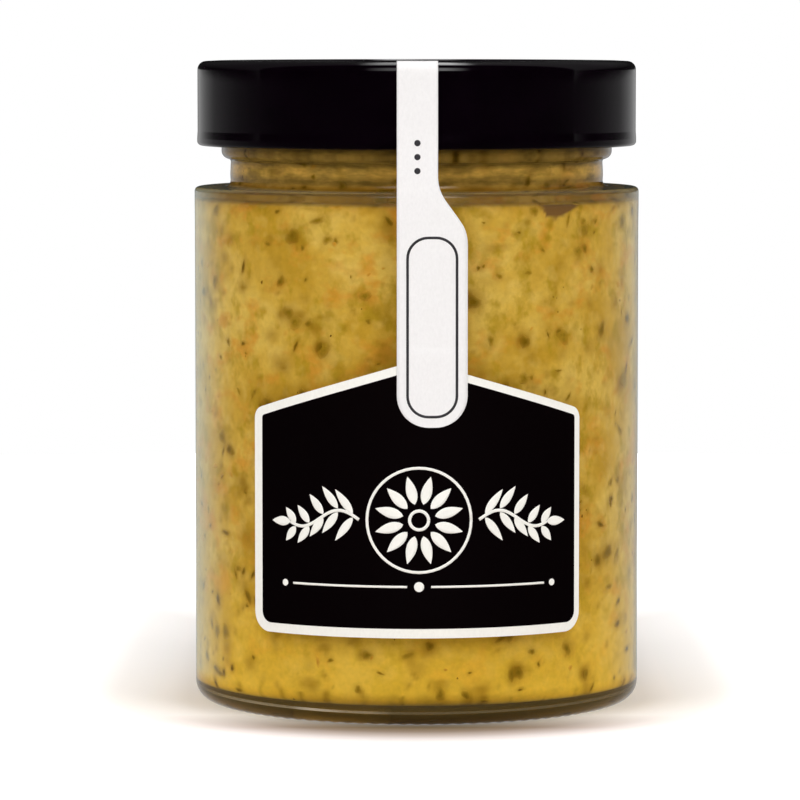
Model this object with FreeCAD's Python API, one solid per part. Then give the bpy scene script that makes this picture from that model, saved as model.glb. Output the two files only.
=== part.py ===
import FreeCAD, Part
import math
import os

# A jar of eggplant spread: a straight-sided clear glass jar with a flat shoulder and a short neck,
# filled with spread, closed by a deep twist-off lid of lacquered sheet steel. A house-shaped label
# is stuck on the front, and a paper seal strip runs from the lid's top down to that label.
#
# Sizes are in millimetres. The origin is the centre of the base, on the surface that the jar
# stands on, with +Z up and the label facing -Y.

# Whole jar
BODY_DIAMETER = 73.2
TOTAL_HEIGHT = 105.4

# Lid
LID_HEIGHT = 13.9
LID_INSET = 0.45            # the lid's side stands this far in from the glass body
LID_SHEET = 0.3
LID_CROWN = 0.15            # the rim's crown falls this far towards its corner
LID_CROWN_WIDTH = 3.0       # from the crown's top out to the lid's side
LID_CROWN_BEND = 4.0
LID_TOP_RADIUS = 1.4
LID_EDGE_RADIUS = 0.7
LID_CURL = 1.4              # how far the bottom edge is turned in
LID_CURL_HEIGHT = 1.3
LID_GAP = 6.8               # clear height between the shoulder and the lid's edge
PANEL_DEPTH = 0.9           # the lid's middle lies this far below its rim
PANEL_SLOPE = 0.7
PANEL_CLEARANCE = 0.5       # between the lid's panel and the mouth of the glass
BUTTON_DIAMETER = 34.0
BUTTON_DEPTH = 0.5
BUTTON_SLOPE = 1.6
SHEET_BEND = 0.5            # bend radius of the lid's steps

# Glass
WALL = 2.6
HEEL_RADIUS = 3.0
SHOULDER_RADIUS = 0.9
SHOULDER_WIDTH = 6.0        # from the body's side in to the neck
SHOULDER_THICKNESS = 2.2
SHOULDER_INNER_RADIUS = 1.8
NECK_WALL = 2.2
NECK_HEIGHT = 4.6           # from the shoulder up to the bead
NECK_FILLET = 1.1
NECK_INNER_RADIUS = 1.2
BEAD_STEP = 1.55            # the bead and the finish stand out this far from the neck
BEAD_RADIUS = 0.5
RIM_RADIUS = 1.0
PUSH_UP = 1.6               # the base's middle is raised this far off the standing ring
PUSH_UP_SLOPE = 3.0
PUSH_UP_RADIUS = 2.0
RING_WIDTH = 2.8            # flat standing ring
RING_RADIUS = 0.8
FLOOR_HEIGHT = 3.4          # inside, at the foot of the wall
FLOOR_RISE = 1.6            # the inside floor's middle lies this much higher
FLOOR_RADIUS = 3.5

# Spread
HEADSPACE = 8.0             # from the spread's surface up to the rim, hidden by the lid

# Label, measured on the flat sheet
LABEL_THICKNESS = 0.2
LABEL_WIDTH = 57.6
LABEL_BOTTOM = 14.3
LABEL_SIDE_HEIGHT = 35.7
LABEL_ROOF_RISE = 8.5
LABEL_CORNER_RADIUS = 3.2
LABEL_EAVES_RADIUS = 2.0
LABEL_APEX_RADIUS = 1.0
WRAP_POINTS = 9             # points taken on each edge when the label is wrapped

# Seal strip
STRIP_THICKNESS = 0.2
STRIP_WIDTH = 6.5
STRIP_OVERLAP = 10.7        # its lower end lies this far below the label's apex
STRIP_REACH = 26.0          # its upper end lies this far in from the lid's side
STRIP_STEP = 1.0            # height over which it steps from the label onto the glass
TAB_STEP = 4.7              # its lower part, the tab, stands out this far on one side
TAB_HEIGHT = 31.0
TAB_SLOPE = 6.5             # height over which the strip widens to the tab
TAB_CORNER_RADIUS = 5.0
TAB_BEND = 6.0              # bend radius of the widening side
STRIP_SWEEP = 120.0         # degrees revolved before the strip is cut to its width
MARGIN = 2.0                # how far cutting shapes run past what they cut

BODY_RADIUS = BODY_DIAMETER / 2
INNER_RADIUS = BODY_RADIUS - WALL
NECK_RADIUS = BODY_RADIUS - SHOULDER_WIDTH
BORE_RADIUS = NECK_RADIUS - NECK_WALL
FINISH_RADIUS = NECK_RADIUS + BEAD_STEP
LID_RADIUS = BODY_RADIUS - LID_INSET
LID_BOTTOM = TOTAL_HEIGHT - LID_HEIGHT
SHOULDER_TOP = LID_BOTTOM - LID_GAP
SHOULDER_UNDERSIDE = SHOULDER_TOP - SHOULDER_THICKNESS
RIM_TOP = TOTAL_HEIGHT - LID_SHEET
PANEL_TOP = TOTAL_HEIGHT - PANEL_DEPTH
PANEL_RADIUS = BORE_RADIUS - PANEL_CLEARANCE - LID_SHEET
LABEL_EAVES = LABEL_BOTTOM + LABEL_SIDE_HEIGHT
LABEL_APEX = LABEL_EAVES + LABEL_ROOF_RISE
LABEL_RADIUS = BODY_RADIUS + LABEL_THICKNESS
STRIP_BOTTOM = LABEL_APEX - STRIP_OVERLAP
STRIP_TOP_END = LID_RADIUS - STRIP_REACH

ORIGIN = FreeCAD.Vector(0, 0, 0)
UP = FreeCAD.Vector(0, 0, 1)
FRONT = FreeCAD.Vector(0, -1, 0)


def outline(corners):
    """Closed wire in the XZ plane through corners (x, z, radius), each rounded by a tangent arc."""
    points = [FreeCAD.Vector(x, 0, z) for x, z, _ in corners]
    starts, ends, arcs = [], [], []
    for i, (here, corner) in enumerate(zip(points, corners)):
        radius = corner[2]
        if radius == 0:
            starts.append(here)
            ends.append(here)
            continue
        back = (points[i - 1] - here).normalize()
        ahead = (points[(i + 1) % len(points)] - here).normalize()
        half_angle = back.getAngle(ahead) / 2
        starts.append(here + back * (radius / math.tan(half_angle)))
        ends.append(here + ahead * (radius / math.tan(half_angle)))
        inward = (back + ahead).normalize()
        middle = here + inward * (radius / math.sin(half_angle) - radius)
        arcs.append(Part.Arc(starts[-1], middle, ends[-1]).toShape())
    lines = []
    for i, end in enumerate(ends):
        following = starts[(i + 1) % len(starts)]
        if end.distanceToPoint(following) > 1e-6:
            lines.append(Part.LineSegment(end, following).toShape())
    return Part.Wire(Part.__sortEdges__(arcs + lines))


def sheet(path, thickness, side):
    """Corners of a sheet's section: the path, and the path moved by the thickness to its left
    (side 1) or right (side -1)."""
    directions = []
    for (x0, z0, _), (x1, z1, _) in zip(path, path[1:]):
        length = math.hypot(x1 - x0, z1 - z0)
        directions.append(((x1 - x0) / length, (z1 - z0) / length))
    moved = []
    for i, (x, z, radius) in enumerate(path):
        dx0, dz0 = directions[max(i - 1, 0)]
        dx1, dz1 = directions[min(i, len(directions) - 1)]
        turn = dx0 * dz1 - dz0 * dx1
        stretch = side * thickness / (1 + dx0 * dx1 + dz0 * dz1)
        if radius > 0:
            radius -= math.copysign(thickness, turn) * side
        moved.append((x - (dz0 + dz1) * stretch, z + (dx0 + dx1) * stretch, radius))
    return path + moved[::-1]


def turned(corners, start=0, sweep=360):
    """Solid made by turning a section about the jar's axis."""
    section = Part.Face(outline(corners))
    section.rotate(ORIGIN, UP, start)
    return section.revolve(ORIGIN, UP, sweep)


def cavity_corners():
    """The glass's inner face from the middle of the floor up to the foot of the bore."""
    return [
        (0, FLOOR_HEIGHT + FLOOR_RISE, 0),
        (INNER_RADIUS, FLOOR_HEIGHT, FLOOR_RADIUS),
        (INNER_RADIUS, SHOULDER_UNDERSIDE, SHOULDER_INNER_RADIUS),
        (BORE_RADIUS, SHOULDER_UNDERSIDE, NECK_INNER_RADIUS),
    ]


def make_jar():
    ring_inside = BODY_RADIUS - HEEL_RADIUS - RING_WIDTH
    outside = [
        (0, PUSH_UP, 0),
        (ring_inside - PUSH_UP_SLOPE, PUSH_UP, PUSH_UP_RADIUS),
        (ring_inside, 0, RING_RADIUS),
        (BODY_RADIUS, 0, HEEL_RADIUS),
        (BODY_RADIUS, SHOULDER_TOP, SHOULDER_RADIUS),
        (NECK_RADIUS, SHOULDER_TOP, NECK_FILLET),
        (NECK_RADIUS, SHOULDER_TOP + NECK_HEIGHT, BEAD_RADIUS),
        (FINISH_RADIUS, SHOULDER_TOP + NECK_HEIGHT, BEAD_RADIUS),
        (FINISH_RADIUS, RIM_TOP, RIM_RADIUS),
        (BORE_RADIUS, RIM_TOP, RIM_RADIUS),
    ]
    return turned(outside + cavity_corners()[::-1])


def make_spread():
    level = RIM_TOP - HEADSPACE
    return turned(cavity_corners() + [(BORE_RADIUS, level, 0), (0, level, 0)])


def lid_rim_corners():
    """The lid's upper face from the edge of its panel out over the crowned rim."""
    return [
        (PANEL_RADIUS - PANEL_SLOPE, PANEL_TOP, SHEET_BEND),
        (PANEL_RADIUS, TOTAL_HEIGHT, SHEET_BEND),
        (LID_RADIUS - LID_CROWN_WIDTH, TOTAL_HEIGHT, LID_CROWN_BEND),
        (LID_RADIUS, TOTAL_HEIGHT - LID_CROWN, LID_TOP_RADIUS),
    ]


def make_lid():
    button_radius = BUTTON_DIAMETER / 2
    button = [
        (0, PANEL_TOP - BUTTON_DEPTH, 0),
        (button_radius - BUTTON_SLOPE, PANEL_TOP - BUTTON_DEPTH, SHEET_BEND),
        (button_radius, PANEL_TOP, SHEET_BEND),
    ]
    edge = [
        (LID_RADIUS, LID_BOTTOM, LID_EDGE_RADIUS),
        (LID_RADIUS - LID_CURL, LID_BOTTOM, LID_EDGE_RADIUS - LID_SHEET / 2),
        (LID_RADIUS - LID_CURL, LID_BOTTOM + LID_CURL_HEIGHT, 0),
    ]
    return turned(sheet(button + lid_rim_corners() + edge, LID_SHEET, -1))


def make_label():
    half = LABEL_WIDTH / 2
    flat = outline([
        (-half, LABEL_BOTTOM, LABEL_CORNER_RADIUS),
        (half, LABEL_BOTTOM, LABEL_CORNER_RADIUS),
        (half, LABEL_EAVES, LABEL_EAVES_RADIUS),
        (0, LABEL_APEX, LABEL_APEX_RADIUS),
        (-half, LABEL_EAVES, LABEL_EAVES_RADIUS),
    ])
    front_view = Part.Face(Part.Wire([wrapped(edge) for edge in flat.OrderedEdges]))
    shell = Part.makeCylinder(LABEL_RADIUS, TOTAL_HEIGHT)
    shell = shell.cut(Part.makeCylinder(BODY_RADIUS, TOTAL_HEIGHT))
    return shell.common(front_view.extrude(FRONT * (LABEL_RADIUS + MARGIN)))


def wrapped(edge):
    """An edge of the flat label, as seen from the front once it is wrapped round the body."""
    points = []
    for point in edge.discretize(Number=WRAP_POINTS):
        across = BODY_RADIUS * math.sin(point.x / BODY_RADIUS)
        points.append(FreeCAD.Vector(across, 0, point.z))
    curve = Part.BSplineCurve()
    curve.interpolate(points)
    return curve.toShape()


def make_seal_strip():
    under = [(STRIP_TOP_END - MARGIN, PANEL_TOP, 0)] + lid_rim_corners() + [
        (LID_RADIUS, LID_BOTTOM + LID_EDGE_RADIUS / 2, 0),
        (BODY_RADIUS, SHOULDER_TOP - SHOULDER_RADIUS / 2, 0),
        (BODY_RADIUS, LABEL_APEX + 2 * STRIP_STEP, 0),
        (LABEL_RADIUS, LABEL_APEX + STRIP_STEP, 0),
        (LABEL_RADIUS, STRIP_BOTTOM - MARGIN, 0),
    ]
    band = turned(sheet(under, STRIP_THICKNESS, 1), -90 - STRIP_SWEEP / 2, STRIP_SWEEP)

    half = STRIP_WIDTH / 2
    side = half + TAB_STEP
    tab_top = STRIP_BOTTOM + TAB_HEIGHT
    front_view = Part.Face(outline([
        (-half, STRIP_BOTTOM, TAB_CORNER_RADIUS),
        (side, STRIP_BOTTOM, TAB_CORNER_RADIUS),
        (side, tab_top, TAB_BEND),
        (half, tab_top + TAB_SLOPE, TAB_BEND),
        (half, TOTAL_HEIGHT + MARGIN, 0),
        (-half, TOTAL_HEIGHT + MARGIN, 0),
    ]))
    band = band.common(front_view.extrude(FRONT * (LABEL_RADIUS + MARGIN)))

    top_view = Part.Face(outline([
        (-half, STRIP_TOP_END, half),
        (half, STRIP_TOP_END, half),
        (half, STRIP_TOP_END + STRIP_WIDTH, 0),
        (side + MARGIN, STRIP_TOP_END + STRIP_WIDTH, 0),
        (side + MARGIN, LABEL_RADIUS + MARGIN, 0),
        (-half, LABEL_RADIUS + MARGIN, 0),
    ]))
    top_view.rotate(ORIGIN, FreeCAD.Vector(1, 0, 0), 90)
    return band.common(top_view.extrude(UP * (TOTAL_HEIGHT + MARGIN)))


os.makedirs("parts", exist_ok=True)
for name, make in (
    ("jar", make_jar),
    ("spread", make_spread),
    ("lid", make_lid),
    ("label", make_label),
    ("seal_strip", make_seal_strip),
):
    make().exportStep(f"parts/{name}.step")
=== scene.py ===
import math
import random

import bmesh
import bpy
import numpy as np
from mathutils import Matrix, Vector


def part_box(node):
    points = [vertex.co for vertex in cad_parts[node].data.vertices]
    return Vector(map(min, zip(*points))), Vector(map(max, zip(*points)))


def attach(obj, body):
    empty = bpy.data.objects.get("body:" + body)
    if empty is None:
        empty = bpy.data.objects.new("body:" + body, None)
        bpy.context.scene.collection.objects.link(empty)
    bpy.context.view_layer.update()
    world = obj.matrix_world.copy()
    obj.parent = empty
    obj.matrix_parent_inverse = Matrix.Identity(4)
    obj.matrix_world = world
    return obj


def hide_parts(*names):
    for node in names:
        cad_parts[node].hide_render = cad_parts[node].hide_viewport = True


# Looks of a closed glass jar of eggplant spread. Shapes are worked out in millimetres in the CAD
# frame, with the jar's axis on Z and the label facing -Y, and turned into metres as meshes are made.

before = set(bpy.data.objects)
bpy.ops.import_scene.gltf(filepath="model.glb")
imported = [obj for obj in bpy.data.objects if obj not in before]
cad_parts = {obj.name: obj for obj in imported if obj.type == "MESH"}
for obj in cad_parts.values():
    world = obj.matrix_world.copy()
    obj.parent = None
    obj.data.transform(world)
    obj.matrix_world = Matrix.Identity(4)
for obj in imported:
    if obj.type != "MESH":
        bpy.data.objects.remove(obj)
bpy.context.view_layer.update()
bpy.context.scene.view_settings.view_transform = "Standard"

MM = 0.001


def high(node, axis):
    """Highest coordinate of a CAD node along an axis, in millimetres."""
    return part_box(node)[1][axis] / MM


def low(node, axis):
    """Lowest coordinate of a CAD node along an axis, in millimetres."""
    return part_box(node)[0][axis] / MM


# Sizes taken from the frame
X, Y, Z = 0, 1, 2
BODY_RADIUS = high("jar", X)
RIM_TOP = high("jar", Z)
SPREAD_LEVEL = high("spread", Z)
LID_RADIUS = high("lid", X)
LID_TOP = high("lid", Z)
LID_BOTTOM = low("lid", Z)
LABEL_BOTTOM = low("label", Z)
STRIP_BOTTOM = low("seal_strip", Z)
TAB_SIDE = high("seal_strip", X)
STRIP_TOP_END = -high("seal_strip", Y)

# Glass
WALL = 2.6
HEEL_RADIUS = 3.0
SHOULDER_TOP = LID_BOTTOM - 6.8
SHOULDER_RADIUS = 0.7
SHOULDER_THICKNESS = 2.2
SHOULDER_INNER_RADIUS = 1.8
NECK_RADIUS = BODY_RADIUS - 6.0
NECK_WALL = 2.2
NECK_HEIGHT = 4.6
NECK_BULGE = 0.12           # the neck swells this much a little above the shoulder
NECK_BULGE_HEIGHT = 2.0
NECK_BULGE_RADIUS = 3.0
NECK_FILLET = 1.1
NECK_INNER_RADIUS = 1.2
BEAD_STEP = 1.55
BEAD_RADIUS = 0.5
BEAD_EDGE_RADIUS = 1.3      # its outer corner is worn rounder than its inner one
RIM_RADIUS = 1.0
PUSH_UP = 1.6
PUSH_UP_SLOPE = 3.0
PUSH_UP_RADIUS = 2.0
RING_WIDTH = 2.8
RING_RADIUS = 0.8
FLOOR_HEIGHT = 3.4
FLOOR_RISE = 1.6
FLOOR_RADIUS = 3.5
GLASS_SEGMENTS = 768
GLASS_STEP = 1.6            # longest mesh row of the glass
GLASS_WAVE = 0.05           # moulded glass is uneven by about this much
BASE_RIBS = 96              # small ribs moulded into the standing ring
BASE_RIB_DEPTH = 0.1

# Spread
BITE = 0.15                 # the spread reaches this far into the glass, so that no air shows
DEEP_BITE = 0.4             # and this far at the floor and under the shoulder
FOOT_RADIUS = 2.2
SPREAD_SEGMENTS = 480
SPREAD_STEP = 0.6           # longest mesh row where the spread shows
SPREAD_STEP_HIDDEN = 1.6    # and where it is hidden
SPREAD_SEED = 21
NECK_SHADE_FROM = 80.5         # painted shade: the paste in the neck darkens from here up, for the lid's shadow
POCKET_ANGLE = 41.0         # an air pocket under the shoulder, degrees round from the front
POCKET_HEIGHT = 82.6
POCKET_HALF_ANGLE = 7.2
POCKET_DROP = 2.4
POCKET_DEPTH = 0.12         # less than the bite, so no gap opens and the pocket shows only as painted shade

# Lid
LID_SHEET = 0.3
LID_CROWN = 0.15
LID_CROWN_WIDTH = 3.0
LID_CROWN_BEND = 4.0
LID_TOP_RADIUS = 1.4
LID_HEM = 0.07              # the rolled edge swells out a little
LID_HEM_HEIGHT = 2.4
LID_HEM_SLOPE = 1.2
LID_HEM_BEND = 2.0          # bend radius where the side meets the hem
LID_HEM_FOOT_BEND = 1.0     # and where the hem is full
LID_EDGE_RADIUS = 0.7
LID_CURL = 1.4
LID_CURL_HEIGHT = 1.3
PANEL_TOP = LID_TOP - 0.9
PANEL_RADIUS = 27.4
PANEL_SLOPE = 0.7
BUTTON_RADIUS = 17.0
BUTTON_DEPTH = 0.5
BUTTON_SLOPE = 1.6
SHEET_BEND = 0.5
TIGHT_BEND = 0.2            # inside corners of the sheet
CURL_BEND = 0.3
LID_SEGMENTS = 384
LID_STEP = 3.0

# Label, measured on the flat sheet
PAPER = 0.1
LABEL_WIDTH = 57.6
LABEL_EAVES = LABEL_BOTTOM + 35.7
LABEL_APEX = LABEL_EAVES + 8.5
LABEL_CORNER_RADIUS = 3.2
LABEL_EAVES_RADIUS = 2.0
LABEL_APEX_RADIUS = 1.0
LABEL_MIN_RADIUS = 0.6      # no corner of the printed field is sharper
LABEL_BORDER = 1.4
PRINT_SHIFT = (0.28, 0.1)   # the print sits a little off the paper's middle
LABEL_SLICE = 0.8           # width of the upright slices that the label bends in
INK = 0.012                 # the print lies this far above the paper

# Ornament on the label
ROSETTE_HEIGHT = 33.0
PETALS = 12
PETAL_FOOT = 2.6            # from the rosette's middle out to the foot of a petal
PETAL_LENGTH = 4.6
PETAL_WIDTH = 1.7
ROSETTE_INNER_RING = 1.5
ROSETTE_OUTER_RING = 8.3
SPRIG_START = 9.6
SPRIG_STEP = 0.5
SPRIG_WAVE = 1.4
SPRIG_LEAN = 52.0           # degrees between a leaf and the stem
LEAF_LENGTH = 5.0
LEAF_WIDTH = 1.35
RULE_HEIGHT = 22.4
RULE_START = 1.9
RULE_STEP = 0.6
RULE_END = 22.6

# Seal strip, measured on the flat sheet
STRIP_WIDTH = 6.5
STRIP_LIFT = 0.03
STRIP_STEP = 1.0            # height over which it steps from the label onto the glass
STRIP_BEND = 3.0            # bend radius where it leaves the glass and meets the lid
STEP_BEND = 1.5
STRIP_ROW = 0.6             # longest mesh row of the strip
STRIP_COLUMNS = 17
TAB_TOP = STRIP_BOTTOM + 31.0
TAB_SLOPE = 6.5
TAB_CORNER_RADIUS = 5.0
TAB_BEND = 6.0
LINE_INSET = 1.7            # from the tab's edge in to the printed line
LINE_WIDTH = 0.42
DOT_PITCH = 2.2
DOT_RADIUS = 0.5

# Camera and stage; the lamps' places and sizes are in metres
CAMERA_PLACE = (-2.74, -777.5, 110.9)
CAMERA_DOWN = 4.53
CAMERA_LENS = 211.9
STAGE_RADIUS = 450.0
STAGE_SEGMENTS = 128
LAMP_SIZE = (0.4, 0.6)
LAMPS = (
    ("key_left", (-0.55, -0.5, 0.5), (0, 0, 0.05), 3.0),
    ("key_right", (0.55, -0.5, 0.5), (0, 0, 0.05), 3.0),
    ("top", (0, 0.05, 0.8), (0, 0, 0.1), 2.0),
)
AMBIENT = 0.4


def srgb(red, green, blue):
    """Linear colour with alpha from 8-bit sRGB values."""
    linear = []
    for value in (red, green, blue):
        value /= 255
        linear.append(value / 12.92 if value <= 0.04045 else ((value + 0.055) / 1.055) ** 2.4)
    return (*linear, 1.0)


# ---- shapes

ARC_STEP = math.radians(9)


def rounded(corners):
    """Points along corners (x, y, radius), each rounded by a tangent arc."""
    points = []
    for i, (x, y, radius) in enumerate(corners):
        here = np.array((x, y), float)
        if radius == 0:
            points.append(here)
            continue
        back = np.array(corners[i - 1][:2], float) - here
        ahead = np.array(corners[(i + 1) % len(corners)][:2], float) - here
        back /= np.hypot(*back)
        ahead /= np.hypot(*ahead)
        half = math.acos(float(np.clip(back @ ahead, -1, 1))) / 2
        reach = radius / math.tan(half)
        inward = (back + ahead) / np.hypot(*(back + ahead))
        centre = here + inward * radius / math.sin(half)
        start = math.atan2(*(here + back * reach - centre)[::-1])
        turn = math.atan2(*(here + ahead * reach - centre)[::-1]) - start
        turn = (turn + math.pi) % (2 * math.pi) - math.pi
        steps = max(2, math.ceil(abs(turn) / ARC_STEP))
        for step in range(steps + 1):
            angle = start + turn * step / steps
            points.append(centre + radius * np.array((math.cos(angle), math.sin(angle))))
    return points


def spaced(points, longest):
    """The same path with no run longer than the given length."""
    result = [points[0]]
    for a, b in zip(points, points[1:]):
        count = max(1, math.ceil(np.hypot(*(b - a)) / longest))
        result += [a + (b - a) * k / count for k in range(1, count + 1)]
    return np.array(result)


class Path:
    """A path (radius, height) with the length along it and its outward normals."""

    def __init__(self, points):
        self.points = points
        self.along = np.concatenate([[0], np.cumsum(np.hypot(*np.diff(points, axis=0).T))])
        self.length = float(self.along[-1])
        slope = np.gradient(points, self.along, axis=0)
        slope /= np.hypot(*slope.T)[:, None]
        self.normal = np.stack([slope[:, 1], -slope[:, 0]], 1)

    def radius(self, along):
        return np.interp(along, self.along, self.points[:, 0])

    def height(self, along):
        return np.interp(along, self.along, self.points[:, 1])

    def lifted(self, along, lift):
        """Radius and height of a point lifted off the path outwards."""
        out = np.interp(along, self.along, self.normal[:, 0])
        up = np.interp(along, self.along, self.normal[:, 1])
        return self.radius(along) + lift * out, self.height(along) + lift * up


def linked(name, data):
    """A new object in the scene."""
    obj = bpy.data.objects.new(name, data)
    bpy.context.scene.collection.objects.link(obj)
    return obj


def new_object(name, vertices, faces, material):
    """Smooth mesh object from vertices in millimetres."""
    mesh = bpy.data.meshes.new(name)
    mesh.from_pydata((np.asarray(vertices) * MM).tolist(), [], faces)
    mesh.shade_smooth()
    mesh.materials.append(material)
    return linked(name, mesh)


def turned(name, profile, segments, material, shift=None):
    """Closed mesh made by turning a profile (radius, height) that starts and ends on the axis."""
    inner = profile[1:-1]
    angle = np.arange(segments) * 2 * math.pi / segments
    radius, angle = np.meshgrid(inner[:, 0], angle, indexing="ij")
    height = np.meshgrid(inner[:, 1], angle[0], indexing="ij")[0]
    if shift:
        radius, height = shift(radius, height, angle)
    grid = np.stack([radius * np.sin(angle), -radius * np.cos(angle), height], -1).reshape(-1, 3)
    ends = [(0, 0, profile[0][1]), (0, 0, profile[-1][1])]
    vertices = np.vstack([grid, ends])
    first, last = len(grid), len(grid) + 1
    faces = []
    rows = len(inner)
    for j in range(segments):
        k = (j + 1) % segments
        faces.append((first, k, j))
        faces.append((last, (rows - 1) * segments + j, (rows - 1) * segments + k))
        faces += [
            (i * segments + j, i * segments + k, (i + 1) * segments + k, (i + 1) * segments + j)
            for i in range(rows - 1)
        ]
    return new_object(name, vertices, faces, material)


def store(obj, name, values):
    """Keeps one number for each vertex as an attribute that the materials read."""
    attribute = obj.data.attributes.new(name, "FLOAT", "POINT")
    attribute.data.foreach_set("value", np.asarray(values, np.float32))


# ---- materials

class Nodes:
    """Short way to write a node tree."""

    def __init__(self, owner):
        owner.use_nodes = True
        self.tree = owner.node_tree
        self.tree.nodes.clear()

    def add(self, kind, output=0, settings=None, **inputs):
        """An output of a new node whose inputs are set by name."""
        node = self.filled(kind, (), **(settings or {}))
        for name, value in inputs.items():
            self.set(node.inputs[name.replace("_", " ")], value)
        return node.outputs[output]

    def filled(self, kind, values, **settings):
        """A new node with its first inputs set in order."""
        node = self.tree.nodes.new(kind)
        for name, value in settings.items():
            setattr(node, name, value)
        for socket, value in zip(node.inputs, values):
            self.set(socket, value)
        return node

    def set(self, socket, value):
        if isinstance(value, bpy.types.NodeSocket):
            self.tree.links.new(value, socket)
        else:
            socket.default_value = value

    def math(self, operation, *values, clamp=False):
        return self.filled("ShaderNodeMath", values, operation=operation, use_clamp=clamp).outputs[0]

    def ramp(self, value, *stops):
        """Stops are (position, colour)."""
        node = self.tree.nodes.new("ShaderNodeValToRGB")
        elements = node.color_ramp.elements
        while len(elements) < len(stops):
            elements.new(1.0)
        for element, (position, colour) in zip(elements, stops):
            element.position = position
            element.color = colour if isinstance(colour, tuple) else (colour, colour, colour, 1)
        self.set(node.inputs[0], value)
        return node.outputs[0]

    def mix(self, factor, a, b, blend="MIX"):
        node = self.tree.nodes.new("ShaderNodeMix")
        node.data_type = "RGBA"
        node.blend_type = blend
        for index, value in ((0, factor), (6, a), (7, b)):
            self.set(node.inputs[index], value)
        return node.outputs[2]

    def multiply(self, a, b):
        """Two colours multiplied."""
        return self.mix(1.0, a, b, "MULTIPLY")

    def mix_shader(self, factor, a, b):
        return self.filled("ShaderNodeMixShader", (factor, a, b)).outputs[0]

    def add_shader(self, a, b):
        return self.filled("ShaderNodeAddShader", (a, b)).outputs[0]

    def place(self):
        """Object coordinates, which are metres in the CAD frame."""
        return self.add("ShaderNodeTexCoord", 3)

    def split(self, vector):
        """The three parts of a vector."""
        return self.filled("ShaderNodeSeparateXYZ", (vector,)).outputs

    def noise(self, size, detail=2.0, roughness=0.5, stretch=None):
        """Noise whose features are about size millimetres."""
        place = self.place()
        if stretch:
            place = self.add("ShaderNodeMapping", 0, Vector=place, Scale=stretch)
        return self.add(
            "ShaderNodeTexNoise", 0, Vector=place, Scale=1 / (size * MM), Detail=detail, Roughness=roughness
        )

    def bump(self, height, distance, strength=1.0):
        return self.add("ShaderNodeBump", 0, Height=height, Distance=distance * MM, Strength=strength)

    def light_path(self, name):
        return self.tree.nodes.new("ShaderNodeLightPath").outputs[name]

    def seen(self):
        """1 for what the camera sees straight or through glass."""
        return self.math("MAXIMUM", self.light_path("Is Camera Ray"), self.light_path("Is Transmission Ray"))

    def value(self, name):
        """A number that store() has kept for each vertex."""
        return self.add("ShaderNodeAttribute", 2, {"attribute_name": name})

    def surface(self, shader, kind="ShaderNodeOutputMaterial"):
        output = self.tree.nodes.new(kind)
        self.tree.links.new(shader, output.inputs["Surface"])


def material(name):
    made = bpy.data.materials.new(name)
    return made, Nodes(made)


# Painted shade in the glass's tint, up the neck: dark lines where the glass bends sharply, a darker shoulder
# slab, and the lid's painted shadow just under its edge: (height in mm, tint)
SLAB_SHADE = (0.46, 0.46, 0.46, 1)
GLASS_SHADE_LINES = (
    (82.4, 1.0),
    (82.8, SLAB_SHADE),
    (84.2, SLAB_SHADE),
    (84.5, 0.1),
    (85.4, 0.5),
    (86.1, 0.2),
    (86.4, 0.3),
    (87.3, 1.0),
    (88.3, 0.9),
    (88.8, 0.2),
    (89.3, 0.08),
    (89.6, 0.4),
    (90.2, 0.46),
    (90.7, 0.22),
    (91.1, 0.08),
    (91.5, 0.005),
)


def glass_painted_light(n, height, sideways, facing, wall, base):
    """Share of a pale diffuse layer, painted light for light carried through the glass: where the wall is
    seen edge-on (weaker on its right), in the shoulder's slab and in the base.
    """
    painted_light = n.ramp(facing, (0.44, 0.0), (0.53, 0.05), (0.6, 0.13), (0.68, 0.22), (0.78, 0.3), (0.88, 0.25))
    weaker_right = n.ramp(sideways, (0.0, 1.0), (0.03, 0.55))
    painted_light = n.math("MULTIPLY", painted_light, n.math("MULTIPLY", wall, weaker_right))
    slab = n.ramp(height, (0.823, 0.0), (0.828, 0.02), (0.845, 0.02), (0.85, 0.0))
    painted_light = n.math("ADD", painted_light, slab)
    return n.math("MULTIPLY_ADD", base, 0.08, painted_light)


def glass_tint(n, height, sideways, facing, wall, base):
    """Tint of the glass, with painted light and shade: a dim base but for a painted lighter streak, dark
    lines at its bends and under the lid, and a dark rim where seen edge-on.
    """
    # Painted shade: the base is dimmed, but for a painted lighter streak left of its front
    light_streak = n.ramp(n.math("DIVIDE", sideways, -40 * MM), (0.1, 0.0), (0.2, 1.0), (0.42, 1.0), (0.5, 0.0))
    base_shade = n.mix(light_streak, (0.08, 0.06, 0.035, 1), (0.62, 0.54, 0.42, 1))
    tint = n.mix(base, (0.95, 0.98, 0.955, 1), base_shade)
    # Painted shade: dark lines at the glass's bends and the lid's painted shadow under its edge
    lines = n.ramp(height, *[(level / 100, shade) for level, shade in GLASS_SHADE_LINES])
    # Painted shade: a dark rim where the neck and the right side of the wall are seen edge-on
    edge = n.ramp(facing, (0.8, 1.0), (0.87, 0.5), (0.95, 0.35))
    neck = n.ramp(height, (0.86, 0.0), (0.87, 1.0))
    right_wall = n.math("MULTIPLY", wall, n.ramp(sideways, (0.0, 0.0), (0.02, 1.0)))
    edge = n.mix(n.math("MAXIMUM", neck, right_wall), (1, 1, 1, 1), edge)
    return n.multiply(n.multiply(tint, lines), edge)


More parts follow.
